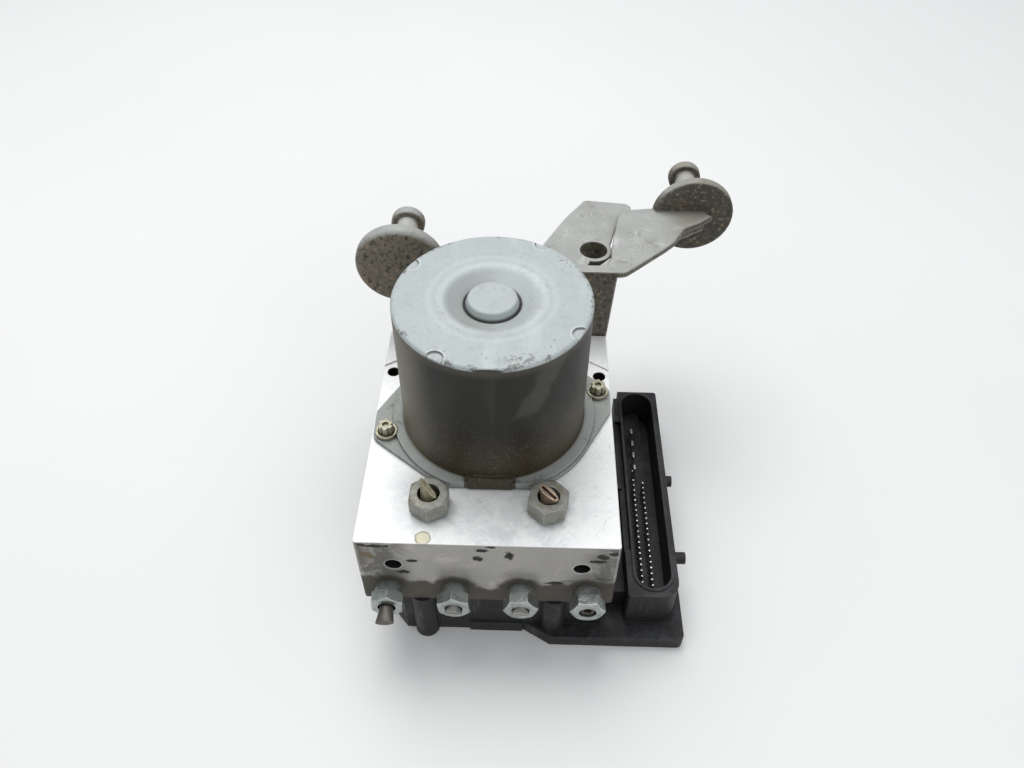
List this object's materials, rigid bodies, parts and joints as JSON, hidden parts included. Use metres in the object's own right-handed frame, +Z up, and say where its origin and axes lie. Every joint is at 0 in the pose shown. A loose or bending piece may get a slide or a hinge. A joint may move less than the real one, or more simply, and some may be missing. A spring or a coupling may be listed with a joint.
{
  "type": "abs brake module",
  "caption": "Hydraulic modulator with valve block, pump motor, tube nuts, cut pipe stubs, control unit with tall open connector, and a cast bracket with disc-backed mounting pins.",
  "frame": {"origin": "centre of the valve block in plan, on the underside of the control unit", "axes": "+Z up through the motor, -Y to the front face with the wheel ports, +X to the connector, +Y to the bracket"},
  "size_m": [0.1547, 0.1918, 0.1224],
  "materials": {
    "block_aluminium": "machined",
    "cast_aluminium": "cast, lightly soiled",
    "plated_steel": "zinc plated",
    "motor_steel": "zinc plated, dull",
    "yellow_zinc": "yellow zinc",
    "steel": "ground",
    "pipe_steel": "dull",
    "pipe_copper": "dull",
    "copper": "bare",
    "bronze": "sintered",
    "tin": "tin plated",
    "ferrite": "dull",
    "carbon": "dull",
    "coil": "varnished",
    "board": "lacquered",
    "black_plastic": "moulded",
    "seal_rubber": "matte"
  },
  "bodies": {
    "module": {"hydraulic_block": "block_aluminium", "gallery_plugs": "steel", "mc_tube_nuts": "plated_steel", "mc_pipe_left": "pipe_steel", "mc_pipe_right": "pipe_copper", "wheel_tube_nuts": "plated_steel", "wheel_pipe_1": "pipe_copper", "wheel_pipe_2": "pipe_steel", "wheel_pipe_3": "pipe_copper", "wheel_pipe_4": "pipe_steel", "motor_housing": "motor_steel", "motor_screws": "yellow_zinc", "motor_seal": "seal_rubber", "motor_magnets": "ferrite", "top_bearing": "bronze", "main_bearing": "steel", "motor_end_plate": "steel", "brush_holder": "black_plastic", "brushes": "carbon", "motor_lead_carrier": "black_plastic", "motor_leads": "copper", "pump_pistons": "steel", "pump_cylinders": "steel", "pump_springs": "steel", "pump_plugs": "plated_steel", "accumulator_caps": "plated_steel", "valves": "steel", "valve_coils": "coil", "ecu_housing": "black_plastic", "circuit_board": "board", "ecu_cover": "black_plastic", "ecu_seal": "seal_rubber", "ecu_screws": "plated_steel", "signal_pins": "tin", "power_blades": "tin", "bracket": "cast_aluminium", "bracket_screws": "plated_steel", "accumulator_spring_left": "steel", "accumulator_spring_right": "steel"},
    "rotor": {"motor_shaft": "steel", "armature_core": "steel", "armature_winding": "copper", "commutator": "copper", "eccentric_bearing": "steel"},
    "piston_left": {"accumulator_piston_left": "block_aluminium"},
    "piston_right": {"accumulator_piston_right": "block_aluminium"}
  },
  "joints": [
    {"name": "rotor_spin", "type": "hinge", "parent": "module", "child": "rotor", "pos_m": [0, 0.007, 0.09], "axis": [0, 0, 1], "continuous": true},
    {"name": "accumulator_left", "type": "slide", "parent": "module", "child": "piston_left", "axis": [0, 1, 0], "range_m": [0, 0.008], "stiffness_N_per_m": 2500, "springref_m": -0.004, "deforming": ["accumulator_spring_left"]},
    {"name": "accumulator_right", "type": "slide", "parent": "module", "child": "piston_right", "axis": [0, 1, 0], "range_m": [0, 0.008], "stiffness_N_per_m": 2500, "springref_m": -0.004, "deforming": ["accumulator_spring_right"]}
  ]
}
